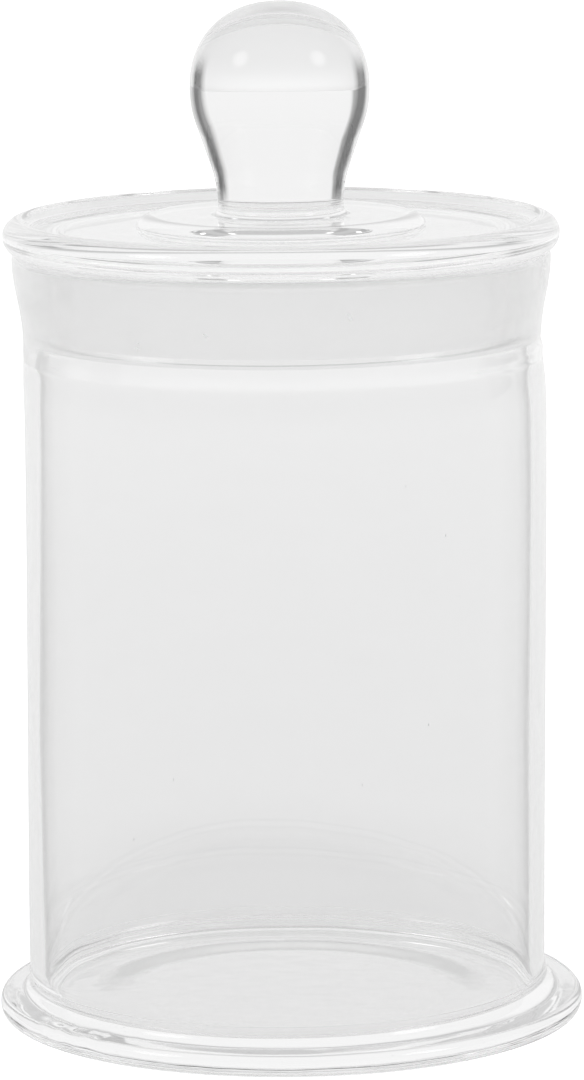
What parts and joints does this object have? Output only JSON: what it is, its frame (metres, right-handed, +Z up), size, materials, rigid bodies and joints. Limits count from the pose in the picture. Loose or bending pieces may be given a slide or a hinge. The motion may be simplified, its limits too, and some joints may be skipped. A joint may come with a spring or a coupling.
{
  "type": "specimen jar",
  "caption": "Clear glass cylindrical specimen jar on a wide round foot, with a flared ground mouth and a lift-off stopper lid that has a solid pear-shaped knob.",
  "frame": {"origin": "centre of the circle that the foot stands on, at the table", "axes": "+Z up along the jar's axis, from the foot to the knob; the jar is turned about Z, so X and Y are free"},
  "size_m": [0.113, 0.113, 0.1954],
  "materials": {
    "jar_glass": "clear colourless hot-worked glass tube, fire-polished, with fine waviness and seeds",
    "mouth_glass": "clear glass collar, fire-polished outside and ground to a fine grey frost on its inner cone",
    "foot_glass": "clear pressed glass with soft tooling rings",
    "lid_glass": "clear colourless glass, with the outer face of the stopper's skirt ground to a fine frost",
    "knob_glass": "clear solid glass, fire-polished"
  },
  "bodies": {
    "jar": {"jar_body": "jar_glass", "jar_mouth": "mouth_glass", "jar_foot": "foot_glass"},
    "lid": {"lid_cap": "lid_glass", "lid_boss": "lid_glass", "lid_knob": "knob_glass"}
  },
  "joints": [
    {"name": "lid_lift", "type": "slide", "parent": "jar", "child": "lid", "axis": [0, 0, 1], "range_m": [0, 0.08]}
  ]
}
